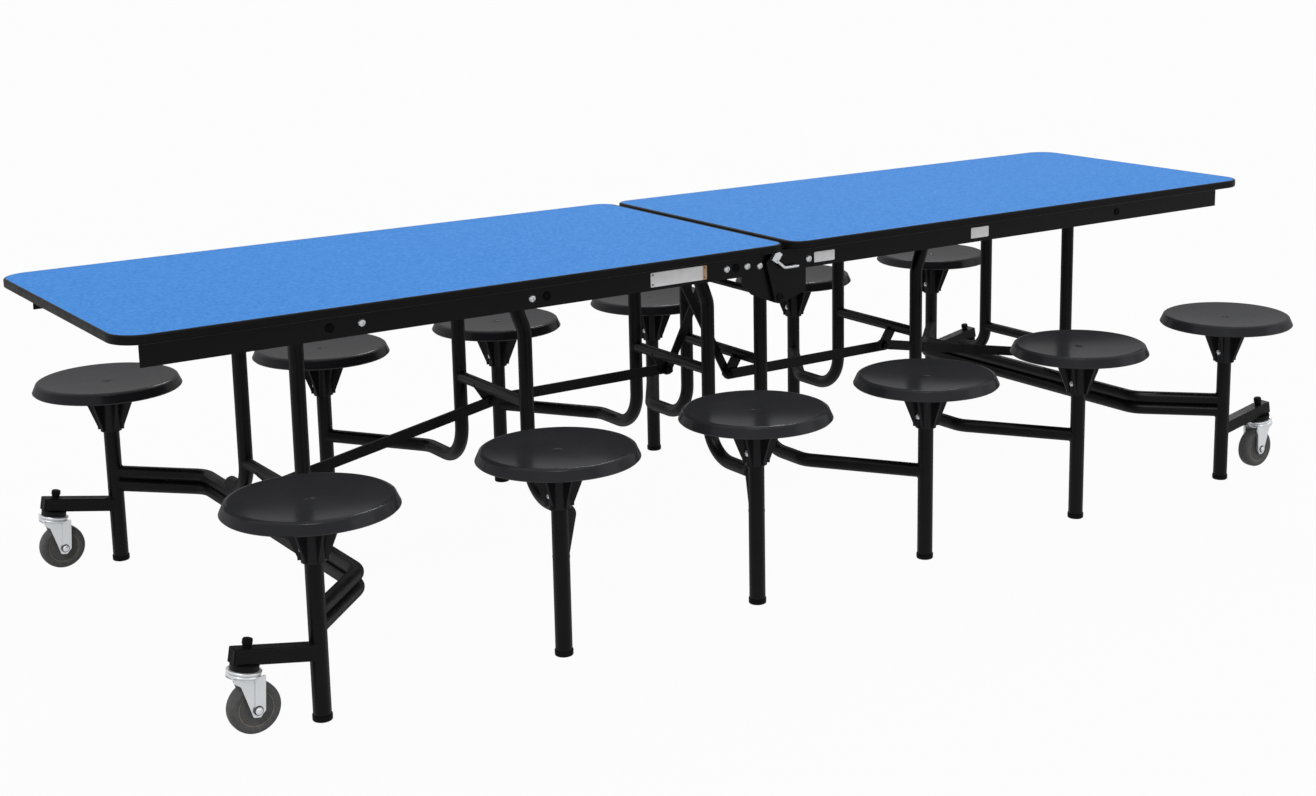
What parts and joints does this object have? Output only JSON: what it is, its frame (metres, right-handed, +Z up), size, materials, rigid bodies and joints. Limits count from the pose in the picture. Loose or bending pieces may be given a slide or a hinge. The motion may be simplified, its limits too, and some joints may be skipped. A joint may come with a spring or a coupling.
{
  "type": "folding table with attached swivel seats",
  "caption": "Long two-part rolling table that folds up at its middle, with round swivel stools carried on bent tube frames along both long sides.",
  "frame": {"origin": "on the floor, at the middle of the table", "axes": "+X along the table's length towards the half that carries the broad hinge plates, +Y away from the side with the release handle, +Z up"},
  "size_m": [3.048, 1.46, 0.737],
  "materials": {
    "blue_laminate": "plastic laminate on particleboard, satin, fine mottle",
    "black_edging": "soft vinyl edging, low gloss",
    "black_frame": "powder coat, semi gloss",
    "charcoal_seat": "moulded plastic, fine grain, low gloss",
    "black_foot": "moulded cap",
    "zinc": "bright zinc plate",
    "wheel_grey": "grey non-marking tread on a plastic core"
  },
  "bodies": {
    "left_end_frame": {"left_end_frame": "black_frame", "left_end_bars": "black_frame", "left_end_posts": "black_frame", "left_end_feet": "black_foot", "left_caster_arms": "black_frame"},
    "left_top": {"left_top": "blue_laminate", "left_edging": "black_edging", "left_rails": "black_frame", "left_hinge_plates": "black_frame", "hinge_bar": "black_frame"},
    "right_top": {"right_top": "blue_laminate", "right_edging": "black_edging", "right_rails": "black_frame", "right_hinge_plates": "black_frame"},
    "left_middle_frame": {"left_middle_frame": "black_frame", "left_middle_posts": "black_frame", "left_middle_feet": "black_foot"},
    "left_centre_frame": {"left_centre_frame": "black_frame", "left_centre_posts": "black_frame", "left_centre_feet": "black_foot"},
    "right_end_frame": {"right_end_frame": "black_frame", "right_end_posts": "black_frame", "right_end_feet": "black_foot", "right_end_bars": "black_frame", "right_caster_arms": "black_frame"},
    "right_middle_frame": {"right_middle_frame": "black_frame", "right_middle_posts": "black_frame", "right_middle_feet": "black_foot"},
    "right_centre_frame": {"right_centre_frame": "black_frame", "right_centre_posts": "black_frame", "right_centre_feet": "black_foot"},
    "left_inner_link": {"left_inner_link": "black_frame"},
    "left_outer_link": {"left_outer_link": "black_frame"},
    "left_stay": {"left_stay": "black_frame"},
    "right_inner_link": {"right_inner_link": "black_frame"},
    "right_outer_link": {"right_outer_link": "black_frame"},
    "right_stay": {"right_stay": "black_frame"},
    "left_end_front_seat": {"left_end_front_seat": "charcoal_seat"},
    "left_end_back_seat": {"left_end_back_seat": "charcoal_seat"},
    "left_middle_front_seat": {"left_middle_front_seat": "charcoal_seat"},
    "left_middle_back_seat": {"left_middle_back_seat": "charcoal_seat"},
    "left_centre_front_seat": {"left_centre_front_seat": "charcoal_seat"},
    "left_centre_back_seat": {"left_centre_back_seat": "charcoal_seat"},
    "right_end_front_seat": {"right_end_front_seat": "charcoal_seat"},
    "right_end_back_seat": {"right_end_back_seat": "charcoal_seat"},
    "right_middle_front_seat": {"right_middle_front_seat": "charcoal_seat"},
    "right_middle_back_seat": {"right_middle_back_seat": "charcoal_seat"},
    "right_centre_front_seat": {"right_centre_front_seat": "charcoal_seat"},
    "right_centre_back_seat": {"right_centre_back_seat": "charcoal_seat"},
    "left_front_caster_fork": {"left_front_caster_fork": "zinc"},
    "left_front_caster_wheel": {"left_front_caster_wheel": "wheel_grey"},
    "left_back_caster_fork": {"left_back_caster_fork": "zinc"},
    "left_back_caster_wheel": {"left_back_caster_wheel": "wheel_grey"},
    "right_front_caster_fork": {"right_front_caster_fork": "zinc"},
    "right_front_caster_wheel": {"right_front_caster_wheel": "wheel_grey"},
    "right_back_caster_fork": {"right_back_caster_fork": "zinc"},
    "right_back_caster_wheel": {"right_back_caster_wheel": "wheel_grey"},
    "release_handle": {"release_handle": "zinc"}
  },
  "joints": [
    {"name": "fold", "type": "hinge", "parent": "left_end_frame", "child": "left_top", "pos_m": [-1.091, 0, 0.687], "axis": [0, -1, 0], "range_deg": [0, 88]},
    {"name": "left_middle_pivot", "type": "hinge", "parent": "left_top", "child": "left_middle_frame", "pos_m": [-0.603, 0, 0.687], "axis": [0, -1, 0], "range_deg": [-88.5, 0]},
    {"name": "left_centre_pivot", "type": "hinge", "parent": "left_top", "child": "left_centre_frame", "pos_m": [-0.117, 0, 0.687], "axis": [0, -1, 0], "range_deg": [-88.5, 0]},
    {"name": "centre_hinge", "type": "hinge", "parent": "left_top", "child": "right_top", "pos_m": [0, 0, 0.607], "axis": [0, -1, 0], "range_deg": [-176.5, 0]},
    {"name": "right_centre_pivot", "type": "hinge", "parent": "right_top", "child": "right_centre_frame", "pos_m": [0.117, 0, 0.687], "axis": [0, -1, 0], "range_deg": [0, 88.5]},
    {"name": "right_middle_pivot", "type": "hinge", "parent": "right_top", "child": "right_middle_frame", "pos_m": [0.603, 0, 0.687], "axis": [0, -1, 0], "range_deg": [0, 88.5]},
    {"name": "right_end_pivot", "type": "hinge", "parent": "right_top", "child": "right_end_frame", "pos_m": [1.091, 0, 0.687], "axis": [0, -1, 0], "range_deg": [0, 88.5]},
    {"name": "left_inner_link_pivot", "type": "hinge", "parent": "left_middle_frame", "child": "left_inner_link", "pos_m": [-0.532, 0.0715, 0.369], "axis": [0, -1, 0], "range_deg": [0, 88.5]},
    {"name": "left_outer_link_pivot", "type": "hinge", "parent": "left_middle_frame", "child": "left_outer_link", "pos_m": [-0.532, 0.0585, 0.369], "axis": [0, -1, 0], "range_deg": [0, 74.25]},
    {"name": "left_stay_pivot", "type": "hinge", "parent": "left_centre_frame", "child": "left_stay", "pos_m": [-0.117, -0.0585, 0.687], "axis": [0, -1, 0], "range_deg": [-10.66, 0]},
    {"name": "right_inner_link_pivot", "type": "hinge", "parent": "right_middle_frame", "child": "right_inner_link", "pos_m": [0.532, -0.0715, 0.369], "axis": [0, -1, 0], "range_deg": [-88.5, 0]},
    {"name": "right_outer_link_pivot", "type": "hinge", "parent": "right_middle_frame", "child": "right_outer_link", "pos_m": [0.532, -0.0585, 0.369], "axis": [0, -1, 0], "range_deg": [-74.25, 0]},
    {"name": "right_stay_pivot", "type": "hinge", "parent": "right_centre_frame", "child": "right_stay", "pos_m": [0.117, 0.0585, 0.687], "axis": [0, -1, 0], "range_deg": [0, 10.66]},
    {"name": "left_end_front_seat_swivel", "type": "hinge", "parent": "left_end_frame", "child": "left_end_front_seat", "pos_m": [-1.25, -0.565, 0.4], "axis": [0, 0, 1], "continuous": true},
    {"name": "left_end_back_seat_swivel", "type": "hinge", "parent": "left_end_frame", "child": "left_end_back_seat", "pos_m": [-1.25, 0.565, 0.4], "axis": [0, 0, 1], "continuous": true},
    {"name": "left_middle_front_seat_swivel", "type": "hinge", "parent": "left_middle_frame", "child": "left_middle_front_seat", "pos_m": [-0.725, -0.565, 0.4], "axis": [0, 0, 1], "continuous": true},
    {"name": "left_middle_back_seat_swivel", "type": "hinge", "parent": "left_middle_frame", "child": "left_middle_back_seat", "pos_m": [-0.725, 0.565, 0.4], "axis": [0, 0, 1], "continuous": true},
    {"name": "left_centre_front_seat_swivel", "type": "hinge", "parent": "left_centre_frame", "child": "left_centre_front_seat", "pos_m": [-0.239, -0.565, 0.4], "axis": [0, 0, 1], "continuous": true},
    {"name": "left_centre_back_seat_swivel", "type": "hinge", "parent": "left_centre_frame", "child": "left_centre_back_seat", "pos_m": [-0.239, 0.565, 0.4], "axis": [0, 0, 1], "continuous": true},
    {"name": "right_end_front_seat_swivel", "type": "hinge", "parent": "right_end_frame", "child": "right_end_front_seat", "pos_m": [1.25, -0.565, 0.4], "axis": [0, 0, 1], "continuous": true},
    {"name": "right_end_back_seat_swivel", "type": "hinge", "parent": "right_end_frame", "child": "right_end_back_seat", "pos_m": [1.25, 0.565, 0.4], "axis": [0, 0, 1], "continuous": true},
    {"name": "right_middle_front_seat_swivel", "type": "hinge", "parent": "right_middle_frame", "child": "right_middle_front_seat", "pos_m": [0.725, -0.565, 0.4], "axis": [0, 0, 1], "continuous": true},
    {"name": "right_middle_back_seat_swivel", "type": "hinge", "parent": "right_middle_frame", "child": "right_middle_back_seat", "pos_m": [0.725, 0.565, 0.4], "axis": [0, 0, 1], "continuous": true},
    {"name": "right_centre_front_seat_swivel", "type": "hinge", "parent": "right_centre_frame", "child": "right_centre_front_seat", "pos_m": [0.239, -0.565, 0.4], "axis": [0, 0, 1], "continuous": true},
    {"name": "right_centre_back_seat_swivel", "type": "hinge", "parent": "right_centre_frame", "child": "right_centre_back_seat", "pos_m": [0.239, 0.565, 0.4], "axis": [0, 0, 1], "continuous": true},
    {"name": "left_front_caster_swivel", "type": "hinge", "parent": "left_end_frame", "child": "left_front_caster_fork", "pos_m": [-1.39119, -0.565, 0.16228], "axis": [0.1822, 0, 0.9833], "continuous": true},
    {"name": "left_front_caster_roll", "type": "hinge", "parent": "left_front_caster_fork", "child": "left_front_caster_wheel", "pos_m": [-1.3825, -0.565, 0.061], "axis": [0, 1, 0], "continuous": true},
    {"name": "left_back_caster_swivel", "type": "hinge", "parent": "left_end_frame", "child": "left_back_caster_fork", "pos_m": [-1.39119, 0.565, 0.16228], "axis": [0.1822, 0, 0.9833], "continuous": true},
    {"name": "left_back_caster_roll", "type": "hinge", "parent": "left_back_caster_fork", "child": "left_back_caster_wheel", "pos_m": [-1.3825, 0.565, 0.061], "axis": [0, 1, 0], "continuous": true},
    {"name": "right_front_caster_swivel", "type": "hinge", "parent": "right_end_frame", "child": "right_front_caster_fork", "pos_m": [1.39119, -0.565, 0.16228], "axis": [-0.1822, 0, 0.9833], "continuous": true},
    {"name": "right_front_caster_roll", "type": "hinge", "parent": "right_front_caster_fork", "child": "right_front_caster_wheel", "pos_m": [1.3825, -0.565, 0.061], "axis": [0, 1, 0], "continuous": true},
    {"name": "right_back_caster_swivel", "type": "hinge", "parent": "right_end_frame", "child": "right_back_caster_fork", "pos_m": [1.39119, 0.565, 0.16228], "axis": [-0.1822, 0, 0.9833], "continuous": true},
    {"name": "right_back_caster_roll", "type": "hinge", "parent": "right_back_caster_fork", "child": "right_back_caster_wheel", "pos_m": [1.3825, 0.565, 0.061], "axis": [0, 1, 0], "continuous": true},
    {"name": "release_handle_turn", "type": "hinge", "parent": "right_top", "child": "release_handle", "pos_m": [-0.014, -0.338, 0.702], "axis": [0, 1, 0], "range_deg": [0, 25], "stiffness_Nm_per_rad": 0.3}
  ],
  "couplings": [
    {"joint": "left_middle_pivot", "follows": "fold", "ratio": -1},
    {"joint": "left_centre_pivot", "follows": "fold", "ratio": -1},
    {"joint": "centre_hinge", "follows": "fold", "ratio": -2},
    {"joint": "right_centre_pivot", "follows": "fold", "ratio": 1},
    {"joint": "right_middle_pivot", "follows": "fold", "ratio": 1},
    {"joint": "right_end_pivot", "follows": "fold", "ratio": 1},
    {"joint": "left_inner_link_pivot", "follows": "fold", "ratio": 1},
    {"joint": "left_outer_link_pivot", "follows": "fold", "ratio": 0.83808},
    {"joint": "left_stay_pivot", "follows": "fold", "ratio": -0.1155},
    {"joint": "right_inner_link_pivot", "follows": "fold", "ratio": -1},
    {"joint": "right_outer_link_pivot", "follows": "fold", "ratio": -0.83808},
    {"joint": "right_stay_pivot", "follows": "fold", "ratio": 0.1155}
  ]
}
